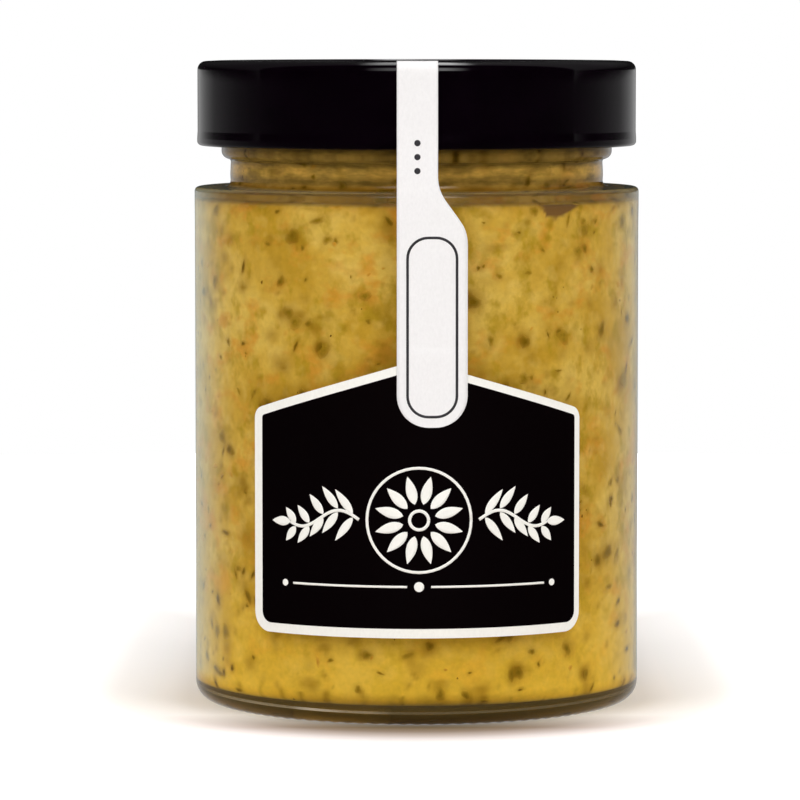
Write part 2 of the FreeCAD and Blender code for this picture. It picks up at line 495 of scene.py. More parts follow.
def glass_material():
    """Clear glass with painted light and shade: a pale green layer where it is seen edge-on, a dim base and
    dark lines at its bends.
    """
    made, n = material("clear_glass")
    sideways, _, upright = n.split(n.place())
    height = n.math("DIVIDE", upright, 100 * MM)
    wall = n.ramp(height, (0.04, 0.0), (0.06, 1.0), (0.81, 1.0), (0.825, 0.7), (0.842, 0.7), (0.85, 0.0))
    base = n.ramp(height, (0.033, 1.0), (0.04, 0.0))
    facing = n.add("ShaderNodeLayerWeight", 1, Blend=0.5)
    glass = n.add(
        "ShaderNodeBsdfPrincipled",
        Base_Color=glass_tint(n, height, sideways, facing, wall, base),
        Roughness=0.0,
        IOR=1.52,
        Transmission_Weight=1.0,
        Normal=n.bump(n.noise(9.0, 1.0), 0.05, 0.35),
    )
    # Painted light: a pale diffuse layer, green on the wall and warm in the base
    pale = n.add("ShaderNodeBsdfDiffuse", Color=n.mix(base, (0.64, 0.8, 0.7, 1), (0.84, 0.6, 0.2, 1)))
    glass = n.mix_shader(glass_painted_light(n, height, sideways, facing, wall, base), glass, pale)
    clear = n.add("ShaderNodeBsdfTransparent", Color=(0.96, 0.98, 0.965, 1))
    lit = n.mix_shader(n.light_path("Is Shadow Ray"), glass, clear)
    n.surface(n.mix_shader(n.light_path("Is Diffuse Ray"), lit, clear))
    return made


STAIN = srgb(138, 98, 16)        # paste round and under a fleck
POCKET = srgb(118, 84, 46)       # painted shade of the air pocket on the paste


def spread_colour(n):
    """Mottled yellow paste with olive, orange and pale patches, painted floor bounce light low down, and
    painted shade, light and streaks in the neck.
    """
    colour = n.ramp(
        n.noise(14.0, 4.0, 0.6),
        (0.38, srgb(216, 176, 80)),
        (0.5, srgb(205, 162, 63)),
        (0.62, srgb(190, 146, 45)),
    )
    orange = n.ramp(n.noise(6.0, 3.0, 0.6, (1.0, 1.0, 1.3)), (0.53, 0.0), (0.66, 0.8))
    colour = n.mix(orange, colour, srgb(207, 143, 48))
    olive = n.ramp(n.noise(4.0, 3.0, 0.6, (1.2, 1.0, 0.9)), (0.52, 0.0), (0.66, 0.7))
    colour = n.mix(olive, colour, srgb(168, 134, 28))
    pale = n.ramp(n.noise(3.4, 2.0, 0.5, (0.9, 1.1, 1.0)), (0.52, 0.0), (0.7, 0.4))
    colour = n.mix(pale, colour, srgb(224, 186, 98))
    upright = n.split(n.place())[Z]
    height = n.math("DIVIDE", upright, 100 * MM)
    # Painted light: paler, yellower paste low down, for the white floor's bounce light
    floor_bounce_light = n.ramp(height, (0.03, 0.9), (0.07, 0.6), (0.27, 0.0))
    colour = n.mix(floor_bounce_light, colour, srgb(246, 196, 62))
    # Painted shade of the lid: the paste darkens up the neck, darkest just under the lid
    neck_shade = n.ramp(
        n.math("DIVIDE", n.math("SUBTRACT", upright, NECK_SHADE_FROM * MM), 12 * MM, clamp=True),
        (0.0, 1.0),
        (0.3, (0.86, 0.74, 0.58, 1)),
        (0.75, (1.0, 0.86, 0.66, 1)),
        (0.9, (0.84, 0.72, 0.62, 1)),
    )
    colour = n.multiply(colour, neck_shade)
    # Painted light and shade in the neck: the paste is lifted paler, then streaked dark across, for what the
    # glass beads show
    neck_shade_streaks = n.ramp(n.noise(6.0, 3.0, 0.65, (1.0, 1.0, 3.0)), (0.36, 0.5), (0.6, 1.0))
    in_neck = n.ramp(height, (0.845, 0.0), (0.86, 1.0))
    colour = n.mix(n.math("MULTIPLY", in_neck, 0.5), colour, srgb(252, 204, 104))
    colour = n.mix(in_neck, colour, n.multiply(colour, neck_shade_streaks))
    grain = n.ramp(n.noise(1.2, 4.0, 0.65), (0.3, 0.9), (0.7, 1.07))
    return n.multiply(colour, grain)


def spread_material():
    """The paste, stained round its flecks, with painted shade where the air pocket is."""
    made, n = material("eggplant_spread")
    colour = n.mix(n.value("stain"), spread_colour(n), STAIN)
    colour = n.mix(n.value("pocket"), colour, POCKET)
    n.surface(n.add(
        "ShaderNodeBsdfPrincipled",
        Base_Color=colour,
        Roughness=0.5,
        Specular_IOR_Level=0.0,
        Normal=n.bump(n.noise(0.9, 3.0), 0.1, 0.3),
    ))
    return made


def bits_material(name, light, dark, soft_edge):
    """Bits in the spread: each has its own tone, and its edge fades into the paste."""
    made, n = material(name)
    own = n.mix(n.value("tone"), light, dark)
    own = n.mix(n.ramp(n.noise(0.5, 2.0), (0.35, 0.0), (0.7, 0.5)), own, dark)
    fade = n.ramp(n.value("edge"), (soft_edge, 0.0), (1.0, 1.0))
    around = n.mix(n.value("stain"), spread_colour(n), STAIN)
    colour = n.mix(fade, own, around)
    n.surface(n.add("ShaderNodeBsdfPrincipled", Base_Color=colour, Roughness=0.5, Specular_IOR_Level=0.0))
    return made


def lid_material():
    """Gloss black lacquer, rubbed a little dull in patches."""
    made, n = material("black_lacquer")
    worn = n.noise(6.0, 4.0, 0.6)
    n.surface(n.add(
        "ShaderNodeBsdfPrincipled",
        Base_Color=n.ramp(worn, (0.3, (0.0012, 0.0002, 0.0012, 1)), (0.7, (0.0022, 0.0005, 0.0022, 1))),
        Roughness=n.ramp(worn, (0.3, 0.07), (0.7, 0.12)),
        Normal=n.bump(n.noise(1.6, 2.0), 0.02, 0.25),
    ))
    return made


def paper_material(name, colour, roughness, shine=0.3):
    """Coated paper with fine fibres."""
    made, n = material(name)
    fibres = n.noise(0.35, 4.0, 0.65, (1.0, 1.0, 0.5))
    tint = n.ramp(fibres, (0.3, 0.94), (0.7, 1.0))
    n.surface(n.add(
        "ShaderNodeBsdfPrincipled",
        Base_Color=n.multiply(colour, tint),
        Roughness=n.ramp(n.noise(3.0, 3.0), (0.3, roughness - 0.06), (0.7, roughness + 0.06)),
        Specular_IOR_Level=shine,
        Normal=n.bump(fibres, 0.02, 0.3),
    ))
    return made


# ---- glass

INNER_RADIUS = BODY_RADIUS - WALL
SHOULDER_UNDERSIDE = SHOULDER_TOP - SHOULDER_THICKNESS
BORE_RADIUS = NECK_RADIUS - NECK_WALL


def glass_profile():
    """Closed section: the outer face up to the rim, and back along the inner face."""
    ring_inside = BODY_RADIUS - HEEL_RADIUS - RING_WIDTH
    finish = NECK_RADIUS + BEAD_STEP
    bead = SHOULDER_TOP + NECK_HEIGHT
    outside = [
        (0, PUSH_UP, 0),
        (ring_inside - PUSH_UP_SLOPE, PUSH_UP, PUSH_UP_RADIUS),
        (ring_inside, 0, RING_RADIUS),
        (BODY_RADIUS, 0, HEEL_RADIUS),
        (BODY_RADIUS, SHOULDER_TOP, SHOULDER_RADIUS),
        (NECK_RADIUS, SHOULDER_TOP, NECK_FILLET),
        (NECK_RADIUS + NECK_BULGE, SHOULDER_TOP + NECK_BULGE_HEIGHT, NECK_BULGE_RADIUS),
        (NECK_RADIUS, bead, BEAD_RADIUS),
        (finish, bead, BEAD_EDGE_RADIUS),
        (finish, RIM_TOP, RIM_RADIUS),
        (BORE_RADIUS, RIM_TOP, RIM_RADIUS),
    ]
    inside = [
        (BORE_RADIUS, SHOULDER_UNDERSIDE, NECK_INNER_RADIUS),
        (INNER_RADIUS, SHOULDER_UNDERSIDE, SHOULDER_INNER_RADIUS),
        (INNER_RADIUS, FLOOR_HEIGHT, FLOOR_RADIUS),
        (0, FLOOR_HEIGHT + FLOOR_RISE, 0),
    ]
    return spaced(rounded(outside + inside), GLASS_STEP)


def window(values, start, end, soft):
    """1 between start and end, fading to 0 over the soft length on both sides."""
    rise = np.clip((values - start) / soft, 0, 1)
    fall = np.clip((end - values) / soft, 0, 1)
    return np.minimum(rise * rise * (3 - 2 * rise), fall * fall * (3 - 2 * fall))


def uneven_glass(radius, height, angle):
    """Moulded glass: faint waves in the outer wall, and ribs under the standing ring."""
    wave = np.sin(3 * angle + 1.3) + np.sin(5 * angle + height / 11 + 2.0)
    wave += np.sin(2 * angle - height / 17) + 0.6 * np.sin(9 * angle + height / 23 + 0.7)
    outer = window(height, 6, SHOULDER_TOP - 2, 5) * (radius > BODY_RADIUS - 0.1)
    radius = radius + outer * GLASS_WAVE * (wave / 3.6 - 1) / 2
    ring = window(radius, BODY_RADIUS - HEEL_RADIUS - RING_WIDTH, BODY_RADIUS - HEEL_RADIUS + 1.6, 0.8)
    ribs = 0.5 - 0.5 * np.cos(BASE_RIBS * angle)
    return radius, height + (height < 0.6) * ring * ribs * BASE_RIB_DEPTH


def make_glass():
    obj = turned("jar_glass", glass_profile(), GLASS_SEGMENTS, glass_material(), uneven_glass)
    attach(obj, "root")
    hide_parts("jar")


# ---- spread

def spread_profile():
    """Section of the spread from the floor's middle up to its hidden top, finer where it shows."""
    inner = INNER_RADIUS + BITE
    bore = BORE_RADIUS + BITE
    under = SHOULDER_UNDERSIDE + DEEP_BITE
    corners = rounded([
        (0, FLOOR_HEIGHT + FLOOR_RISE - BITE, 0),
        (inner, FLOOR_HEIGHT - DEEP_BITE, FOOT_RADIUS),
        (inner, under, SHOULDER_INNER_RADIUS),
        (bore, under, NECK_INNER_RADIUS),
        (bore, SPREAD_LEVEL, 0),
        (0, SPREAD_LEVEL, 0),
    ])
    path = spaced(corners, SPREAD_STEP_HIDDEN)
    edge = bore - 4
    top = LID_BOTTOM + 1
    shown = [p for p in spaced(corners, SPREAD_STEP) if p[0] > edge and p[1] < top]
    before = [p for p in path if p[0] <= edge and p[1] < LID_BOTTOM]
    after = [p for p in path if p[1] >= top]
    return np.array(before + shown + after)


def pocket_share(height, angle):
    """0 to 1 over the air pocket: flat-topped, deepest near one end and tapering to the other."""
    across = ((np.degrees(angle) - POCKET_ANGLE + 180) % 360 - 180) / POCKET_HALF_ANGLE
    floor = POCKET_HEIGHT - POCKET_DROP * np.interp(across, (-1, -0.7, -0.3, 1), (0.1, 0.8, 1.0, 0.1))
    inside = np.minimum((1 - np.abs(across)) * 4, (height - floor) * 2.5)
    return np.clip(np.minimum(inside, (POCKET_HEIGHT - height) * 6 + 1), 0, 1)


def uneven_spread(radius, height, angle):
    """The spread fills the glass, dented a little at the air pocket but not out of the wall, and its hidden
    top is loosely levelled.
    """
    wall = radius > NECK_RADIUS + 1
    radius = radius - wall * pocket_share(height, angle) * POCKET_DEPTH
    inside = np.clip((BORE_RADIUS - 1 - radius) / 4, 0, 1)
    lumps = np.sin(radius / 3 + 2 * angle) + np.sin(radius / 5 - 3 * angle + 1) + np.sin(5 * angle + 2)
    return radius, height + (height > SPREAD_LEVEL - 0.1) * inside * lumps * 0.3


FLOOR_ROWS = 40             # the path's first rows, which lie on the glass floor


class Skin(Path):
    """The spread's outer face as a sheet: along is the path up from the floor, angle is round."""

    def __init__(self):
        path = spread_profile()
        super().__init__(path[path[:, 1] < LID_BOTTOM + 1])
        floor = slice(0, FLOOR_ROWS)
        foot = INNER_RADIUS - FLOOR_RADIUS - 3
        self.start = float(np.interp(foot, self.points[floor, 0], self.along[floor]))

    def point(self, along, angle, lift):
        """Point on the skin, lifted off it outwards."""
        r, z = self.lifted(along, lift)
        return np.stack([r * np.sin(angle), -r * np.cos(angle), z], -1)

    def sample(self, grid, along, angle):
        """Value of the spread's grid at a point of the skin."""
        row = np.interp(along, self.along, np.arange(len(self.along))) - 1
        column = np.asarray(angle) * SPREAD_SEGMENTS / (2 * math.pi) % SPREAD_SEGMENTS
        i, j = row.astype(int), column.astype(int)
        u, v = row - i, column - j
        k = (j + 1) % SPREAD_SEGMENTS
        i2 = np.minimum(i + 1, len(self.along) - 2)
        near = grid[i, j] * (1 - v) + grid[i, k] * v
        far = grid[i2, j] * (1 - v) + grid[i2, k] * v
        return near * (1 - u) + far * u


# Bits in the spread: how many, their shortest and longest, the least share of width to length,
# and how rare the long ones are
FLECKS = {"count": 640, "small": 0.8, "large": 3.2, "slim": 0.3, "power": 1.8}
FAINT_FLECKS = {"count": 1400, "small": 0.9, "large": 3.8, "slim": 0.25, "power": 1.6}
SPECKS = {"count": 150, "small": 0.3, "large": 0.7, "slim": 0.6, "power": 2.2}
ORANGE_BITS = {"count": 90, "small": 0.8, "large": 2.4, "slim": 0.4, "power": 2.2}
FLECK_STAIN = (1.25, 0.95)      # how far a fleck's stain spreads past it, and how strong it is
FAINT_STAIN = (0.9, 0.6)
STAIN_LIMIT = 0.92


def scatter(skin, rng, count, small, large, slim, power):
    """Bits spread evenly over the skin: (along, angle, half length, half width, turn, tone)."""
    bits = []
    while len(bits) < count:
        along = rng.uniform(skin.start, skin.length)
        angle = rng.uniform(0, 2 * math.pi)
        if rng.random() * BODY_RADIUS > skin.radius(along):
            continue
        if skin.radius(along) > NECK_RADIUS and pocket_share(skin.height(along), angle) > 0:
            continue
        length = small + (large - small) * rng.random() ** power
        width = length * rng.uniform(slim, 1.0)
        bits.append((along, angle, length / 2, width / 2, rng.uniform(0, math.pi), rng.random() ** 1.6))
    return bits


RINGS = ((0.5, 0.8), (0.8, 0.45), (1.0, 0.0))               # a bit's rings: (reach, rise)
OUTLINE_WAVES = ((2, 0.16), (3, 0.12), (5, 0.08))           # its uneven outline: (waves, depth)


def make_bits(name, skin, stain, rng, bits, proud, corners, mat):
    """One mesh of low irregular lenses that sit in the spread's skin, against the glass."""
    turn = np.arange(corners) * 2 * math.pi / corners
    vertices, faces, edge, tone, around = [], [], [], [], []
    for along, angle, long_half, wide_half, tilt, shade in bits:
        outline = np.ones(corners)
        for waves, depth in OUTLINE_WAVES:
            outline += depth * np.sin(waves * turn + rng.uniform(0, 6.3))
        u = outline * np.cos(turn) * long_half
        v = outline * np.sin(turn) * wide_half
        across = u * math.cos(tilt) - v * math.sin(tilt)
        up = u * math.sin(tilt) + v * math.cos(tilt)
        height = proud * min(1.0, 0.4 + wide_half)
        first = len(vertices)
        radius = skin.radius(along)
        vertices.append(skin.point(along, angle, height))
        edge.append(0.0)
        around.append(0.0)
        for reach, rise in RINGS:
            place = along + up * reach, angle + across * reach / radius
            vertices.extend(skin.point(*place, height * rise - 0.03 * reach ** 4))
            edge.extend([reach] * corners)
            around.extend(skin.sample(stain, *place))
        vertices.append(skin.point(along, angle, -0.6 * wide_half - 0.1))
        edge.append(1.0)
        around.append(0.0)
        tone.extend([shade] * (len(vertices) - first))
        for k in range(corners):
            a, b = first + 1 + k, first + 1 + (k + 1) % corners
            faces.append((first, a, b))
            faces.append((a, a + corners, b + corners, b))
            faces.append((a + corners, a + 2 * corners, b + 2 * corners, b + corners))
            faces.append((a + 2 * corners, first + 1 + 3 * corners, b + 2 * corners))
    obj = new_object(name, vertices, faces, mat)
    store(obj, "edge", edge)
    store(obj, "tone", tone)
    store(obj, "stain", around)
    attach(obj, "root")


def stains(path, skin, bits, spread):
    """How much each point of the spread's grid is darkened by the bits near it."""
    total = np.zeros((len(path), SPREAD_SEGMENTS))
    turn = np.arange(SPREAD_SEGMENTS) * 2 * math.pi / SPREAD_SEGMENTS
    for along, angle, long_half, wide_half, tilt, shade in bits:
        radius, height = skin.radius(along), skin.height(along)
        reach = 2.6 * spread * long_half
        near = (np.abs(path[:, 0] - radius) < reach) & (np.abs(path[:, 1] - height) < reach)
        rows = np.flatnonzero(near)
        away = (turn - angle + math.pi) % (2 * math.pi) - math.pi
        columns = np.flatnonzero(np.abs(away) * radius < reach)
        across = (away[columns] * radius)[None, :]
        up = (path[rows, 1] - height + radius - path[rows, 0])[:, None]
        u = (across * math.cos(tilt) + up * math.sin(tilt)) / (long_half * spread)
        v = (-across * math.sin(tilt) + up * math.cos(tilt)) / (wide_half * spread)
        total[np.ix_(rows, columns)] += (0.35 + 0.65 * shade) * np.exp(-(u * u + v * v))
    return total


def make_spread():
    path = spread_profile()
    obj = turned("spread_body", path, SPREAD_SEGMENTS, spread_material(), uneven_spread)
    skin = Skin()
    rng = random.Random(SPREAD_SEED)
    flecks = scatter(skin, rng, **FLECKS)
    faint = scatter(skin, rng, **FAINT_FLECKS)
    specks = scatter(skin, rng, **SPECKS)
    orange = scatter(skin, rng, **ORANGE_BITS)
    grid = path[1:-1]
    total = np.zeros((len(grid), SPREAD_SEGMENTS))
    for bits, (spread, strength) in ((flecks, FLECK_STAIN), (faint, FAINT_STAIN)):
        total += stains(grid, skin, bits, spread) * strength
    stain = np.clip(total, 0, STAIN_LIMIT)
    store(obj, "stain", np.append(stain.ravel(), (0, 0)))
    place = np.array([v.co for v in obj.data.vertices]) / MM
    angle = np.arctan2(place[:, 0], -place[:, 1])
    wall = np.hypot(place[:, 0], place[:, 1]) > NECK_RADIUS + 1
    store(obj, "pocket", wall * pocket_share(place[:, 2], angle))
    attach(obj, "root")
    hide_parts("spread")
    olive = bits_material("olive_flecks", srgb(158, 122, 30), srgb(108, 78, 8), 0.25)
    dark = bits_material("dark_specks", srgb(144, 104, 26), srgb(84, 56, 12), 0.5)
    warm = bits_material("orange_bits", srgb(206, 150, 54), srgb(186, 126, 36), 0.2)
    make_bits("spread_flecks", skin, stain, rng, flecks, 0.12, 14, olive)
    make_bits("spread_specks", skin, stain, rng, specks, 0.10, 10, dark)
    make_bits("spread_orange_bits", skin, stain, rng, orange, 0.11, 14, warm)


# ---- lid

def lid_outside():
    """The lid's outer face from the axis out over the rim and down to the hem."""
    side = LID_RADIUS - LID_HEM
    hem = LID_BOTTOM + LID_HEM_HEIGHT
    return [
        (0, PANEL_TOP - BUTTON_DEPTH, 0),
        (BUTTON_RADIUS - BUTTON_SLOPE, PANEL_TOP - BUTTON_DEPTH, SHEET_BEND),
        (BUTTON_RADIUS, PANEL_TOP, SHEET_BEND),
        (PANEL_RADIUS - PANEL_SLOPE, PANEL_TOP, SHEET_BEND),
        (PANEL_RADIUS, LID_TOP, SHEET_BEND),
        (LID_RADIUS - LID_CROWN_WIDTH, LID_TOP, LID_CROWN_BEND),
        (side, LID_TOP - LID_CROWN, LID_TOP_RADIUS),
        (side, hem, LID_HEM_BEND),
        (LID_RADIUS, hem - LID_HEM_SLOPE, LID_HEM_FOOT_BEND),
        (LID_RADIUS, LID_BOTTOM, LID_EDGE_RADIUS),
        (LID_RADIUS - LID_CURL, LID_BOTTOM, LID_EDGE_RADIUS - LID_SHEET / 2),
    ]


def lid_profile():
    """Closed section: the outer face, turned in at the hem, and back along the inner face."""
    inner = LID_RADIUS - LID_SHEET - LID_HEM
    curl = LID_RADIUS - LID_CURL
    inside = [
        (curl, LID_BOTTOM + LID_CURL_HEIGHT, 0),
        (curl + LID_SHEET, LID_BOTTOM + LID_CURL_HEIGHT, 0),
        (curl + LID_SHEET, LID_BOTTOM + LID_SHEET, TIGHT_BEND),
        (inner, LID_BOTTOM + LID_SHEET, CURL_BEND),
        (inner, LID_TOP - LID_CROWN - LID_SHEET, LID_TOP_RADIUS - LID_SHEET),
        (LID_RADIUS - LID_CROWN_WIDTH, LID_TOP - LID_SHEET, LID_CROWN_BEND),
        (PANEL_RADIUS + LID_SHEET, LID_TOP - LID_SHEET, TIGHT_BEND),
        (PANEL_RADIUS + LID_SHEET - PANEL_SLOPE, PANEL_TOP - LID_SHEET, SHEET_BEND),
        (BUTTON_RADIUS + LID_SHEET, PANEL_TOP - LID_SHEET, SHEET_BEND),
        (BUTTON_RADIUS + LID_SHEET - BUTTON_SLOPE, PANEL_TOP - BUTTON_DEPTH - LID_SHEET, SHEET_BEND),
        (0, PANEL_TOP - BUTTON_DEPTH - LID_SHEET, 0),
    ]
    return spaced(rounded(lid_outside() + inside)[::-1], LID_STEP)


def make_lid():
    obj = turned("lid_shell", lid_profile(), LID_SEGMENTS, lid_material())
    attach(obj, "root")
    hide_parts("lid")


# ---- label

def label_outline(inset):
    """The flat label's corners, drawn in from its edge."""
    half = LABEL_WIDTH / 2 - inset
    slope = math.atan2(LABEL_APEX - LABEL_EAVES, LABEL_WIDTH / 2)
    drop = inset / math.cos(slope)
    eaves = LABEL_EAVES - drop + inset * math.tan(slope)
    corner = max(LABEL_CORNER_RADIUS - inset, LABEL_MIN_RADIUS)
    eaves_radius = max(LABEL_EAVES_RADIUS - inset, LABEL_MIN_RADIUS)
    return [
        (-half, LABEL_BOTTOM + inset, corner),
        (half, LABEL_BOTTOM + inset, corner),
        (half, eaves, eaves_radius),
        (0, LABEL_APEX - drop, LABEL_APEX_RADIUS),
        (-half, eaves, eaves_radius),
    ]


def wrapped(across, up, lift):
    """A point of the flat label wrapped round the body, lifted off the glass."""
    angle = across / BODY_RADIUS
    radius = BODY_RADIUS + lift
    return (radius * math.sin(angle), -radius * math.cos(angle), up)


def thicken(obj, thickness):
    """Gives a sheet its thickness, inwards from the face that shows."""
    modifier = obj.modifiers.new("thickness", "SOLIDIFY")
    modifier.thickness = thickness * MM
    modifier.offset = -1


def label_sheet(name, outline, lift, thickness, mat, shift=(0, 0)):
    """A flat outline cut into narrow upright slices and wrapped round the body."""
    bm = bmesh.new()
    bm.faces.new([bm.verts.new((x + shift[0], 0, z + shift[1])) for x, z in rounded(outline)])
    reach = LABEL_WIDTH / 2
    cuts = math.ceil(reach / LABEL_SLICE)
    for k in range(-cuts, cuts + 1):
        geometry = bm.verts[:] + bm.edges[:] + bm.faces[:]
        bmesh.ops.bisect_plane(bm, geom=geometry, plane_co=(k * LABEL_SLICE, 0, 0), plane_no=(1, 0, 0))
    for vertex in bm.verts:
        vertex.co = [value * MM for value in wrapped(vertex.co.x, vertex.co.z, lift)]
    mesh = bpy.data.meshes.new(name)
    bm.to_mesh(mesh)
    bm.free()
    mesh.materials.append(mat)
    obj = linked(name, mesh)
    thicken(obj, thickness)
    return obj


class Quads:
    """Shapes made of small quads, so that they can follow a curved face."""

    def __init__(self):
        self.vertices = []
        self.faces = []

    def grid(self, rows):
        """Rows of points, all of the same count."""
        first, width = len(self.vertices), len(rows[0])
        for row in rows:
            self.vertices += row
        for i in range(len(rows) - 1):
            for j in range(width - 1):
                a = first + i * width + j
                self.faces.append((a, a + 1, a + width + 1, a + width))

    def leaf(self, x, z, length, width, angle):
        """A pointed leaf from its foot at (x, z)."""
        along = np.array((math.cos(angle), math.sin(angle)))
        side = np.array((along[1], -along[0]))
        rows = []
        for i in range(15):
            t = i / 14
            half = width / 2 * math.sin(math.pi * t ** 0.8) ** 0.9
            middle = np.array((x, z)) + along * length * t
            rows.append([tuple(middle + side * half * s / 2) for s in range(-2, 3)])
        self.grid(rows)

    def stroke(self, points, width):
        """A line of even width through points."""
        points = np.array(points, float)
        slope = np.gradient(points, axis=0)
        slope /= np.hypot(*slope.T)[:, None]
        side = np.stack([slope[:, 1], -slope[:, 0]], 1)
        self.grid([[tuple(p + s * width / 2 * k) for k in (-1, 0, 1)] for p, s in zip(points, side)])

    def ring(self, x, z, radius, width):
        turn = [2 * math.pi * k / 48 for k in range(49)]
        self.stroke([(x + radius * math.cos(a), z + radius * math.sin(a)) for a in turn], width)

    def dot(self, x, z, radius):
        rows = []
        for i in range(9):
            up = math.cos(math.pi * i / 8)
            half = math.sqrt(max(1 - up * up, 0))
            rows.append([(x + radius * half * s / 2, z - radius * up) for s in range(-2, 3)])
        self.grid(rows)


def draw_rosette(drawing):
    for k in range(PETALS):
        angle = 2 * math.pi * k / PETALS + math.pi / PETALS
        foot = (PETAL_FOOT * math.cos(angle), ROSETTE_HEIGHT + PETAL_FOOT * math.sin(angle))
        drawing.leaf(*foot, PETAL_LENGTH, PETAL_WIDTH, angle)
    drawing.ring(0, ROSETTE_HEIGHT, ROSETTE_INNER_RING, 0.5)
    drawing.ring(0, ROSETTE_HEIGHT, ROSETTE_OUTER_RING, 0.45)


def draw_sprig(drawing, side):
    """A wavy stem with pairs of leaves, shorter towards its tip, on one side of the rosette."""
    stem = [
        (side * (SPRIG_START + SPRIG_STEP * k), ROSETTE_HEIGHT + SPRIG_WAVE * math.sin(k / 4.2))
        for k in range(25)
    ]
    drawing.stroke(stem if side > 0 else stem[::-1], 0.5)
    lean = math.radians(SPRIG_LEAN)
    for k in range(2, 23, 5):
        x, z = stem[k]
        for up in (-1, 1):
            angle = up * (lean if side > 0 else math.pi - lean)
            drawing.leaf(x, z + up * 0.3, LEAF_LENGTH - 0.09 * k, LEAF_WIDTH, angle)
    drawing.leaf(*stem[-1], 3.6, 1.5, 0.0 if side > 0 else math.pi)


def label_ornament():
    """Generic white ornament: a rosette between two leafy sprigs, with a dotted rule below."""
    drawing = Quads()
    draw_rosette(drawing)
    for side in (-1, 1):
        draw_sprig(drawing, side)
    for side in (-1, 1):
        line = [(side * (RULE_START + RULE_STEP * k), RULE_HEIGHT) for k in range(33)]
        drawing.stroke(line if side > 0 else line[::-1], 0.35)
        drawing.dot(side * RULE_END, RULE_HEIGHT, 0.55)
    drawing.dot(0, RULE_HEIGHT, 0.8)
    return drawing


def make_label():
    white = paper_material("label_white", srgb(249, 247, 240), 0.45)
    black = paper_material("label_black", (0.0022, 0.0007, 0.0011, 1), 0.5, 0.03)
    sheet = label_sheet("label_sheet", label_outline(0), PAPER, PAPER, white)
    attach(sheet, "root")
    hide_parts("label")
    field = label_sheet("label_field", label_outline(LABEL_BORDER), PAPER + INK, 2 * INK, black, PRINT_SHIFT)
    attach(field, "root")
    drawing = label_ornament()
    right, up = PRINT_SHIFT
    vertices = [wrapped(x + right, z + up, PAPER + 2 * INK) for x, z in drawing.vertices]
    ornament = new_object("label_ornament", vertices, drawing.faces, white)
    thicken(ornament, 2 * INK)
    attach(ornament, "root")


# ---- seal strip

def strip_path():
    """The strip's middle line (radius, height) from its lower end to its end on the lid's panel."""
    side = LID_RADIUS - LID_HEM
    corners = [
        (BODY_RADIUS + PAPER, STRIP_BOTTOM, 0),
        (BODY_RADIUS + PAPER, LABEL_APEX + STRIP_STEP, STEP_BEND),
        (BODY_RADIUS, LABEL_APEX + 2 * STRIP_STEP, STEP_BEND),
        (BODY_RADIUS, SHOULDER_TOP - SHOULDER_RADIUS / 2, STRIP_BEND),
        (LID_RADIUS, LID_BOTTOM + LID_EDGE_RADIUS / 2, STRIP_BEND),
        (LID_RADIUS, LID_BOTTOM + LID_HEM_HEIGHT - LID_HEM_SLOPE, LID_HEM_FOOT_BEND),
        (side, LID_BOTTOM + LID_HEM_HEIGHT, LID_HEM_BEND),
        (side, LID_TOP - LID_CROWN, LID_TOP_RADIUS),
        (LID_RADIUS - LID_CROWN_WIDTH, LID_TOP, LID_CROWN_BEND),
        (PANEL_RADIUS, LID_TOP, SHEET_BEND),
        (PANEL_RADIUS - PANEL_SLOPE, PANEL_TOP, SHEET_BEND),
        (STRIP_TOP_END, PANEL_TOP, 0),
    ]
    return spaced(rounded(corners), STRIP_ROW)


class Strip(Path):
    """Places points (along, across) of the flat strip on the jar and the lid."""

    def __init__(self):
        super().__init__(strip_path())
        self.tab = tab_sides()

    def point(self, along, across, lift):
        r, z = self.lifted(along, lift)
        return (across, -math.sqrt(r * r - across * across), z)

    def edges(self, along):
        """Left and right edge of the strip: the tab's outline low down, a round end at the top."""
        half = STRIP_WIDTH / 2
        height = STRIP_BOTTOM + along
        if height < TAB_TOP + TAB_SLOPE + TAB_BEND:
            return [np.interp(height, side[:, 1], side[:, 0]) for side in self.tab]
        end = min(self.length - along, half)
        reach = math.sqrt(half * half - (half - end) ** 2)
        return -reach, reach


def tab_sides():
    """Left and right side of the strip's lower part, from the bottom up."""
    half = STRIP_WIDTH / 2
    top = TAB_TOP + TAB_SLOPE + 2 * TAB_BEND
    left = rounded([(0, STRIP_BOTTOM, 0), (-half, STRIP_BOTTOM, TAB_CORNER_RADIUS), (-half, top, 0)])
    right = rounded([
        (0, STRIP_BOTTOM, 0),
        (TAB_SIDE, STRIP_BOTTOM, TAB_CORNER_RADIUS),
        (TAB_SIDE, TAB_TOP, TAB_BEND),
        (half, TAB_TOP + TAB_SLOPE, TAB_BEND),
        (half, top, 0),
    ])
    return np.array(left), np.array(right)


def strip_rows(strip):
    """Positions along the strip, close together at its round ends."""
    start, end = 0.002, strip.length - 0.002
    turn = [1 - math.cos(math.pi / 2 * k / 12) for k in range(13)]
    low_end = [start + TAB_CORNER_RADIUS * t for t in turn]
    high_end = [end - STRIP_WIDTH / 2 * t for t in turn[::-1]]
    middle = [value for value in strip.along if low_end[-1] + 0.2 < value < high_end[0] - 0.2]
    return low_end + middle + high_end


def strip_print():
    """A fine closed line in the tab and three dots above it."""
    drawing = Quads()
    left, right = LINE_INSET - STRIP_WIDTH / 2, TAB_SIDE - LINE_INSET
    radius = TAB_CORNER_RADIUS - LINE_INSET
    top = TAB_TOP - STRIP_BOTTOM - 1.0
    corners = [(left, LINE_INSET), (right, LINE_INSET), (right, top), (left, top)]
    loop = rounded([(x, z, radius) for x, z in corners])
    drawing.stroke(spaced(loop + loop[:1], 0.5), LINE_WIDTH)
    for k in range(3):
        drawing.dot(0, TAB_TOP + TAB_SLOPE - STRIP_BOTTOM + 3 + DOT_PITCH * k, DOT_RADIUS)
    return drawing


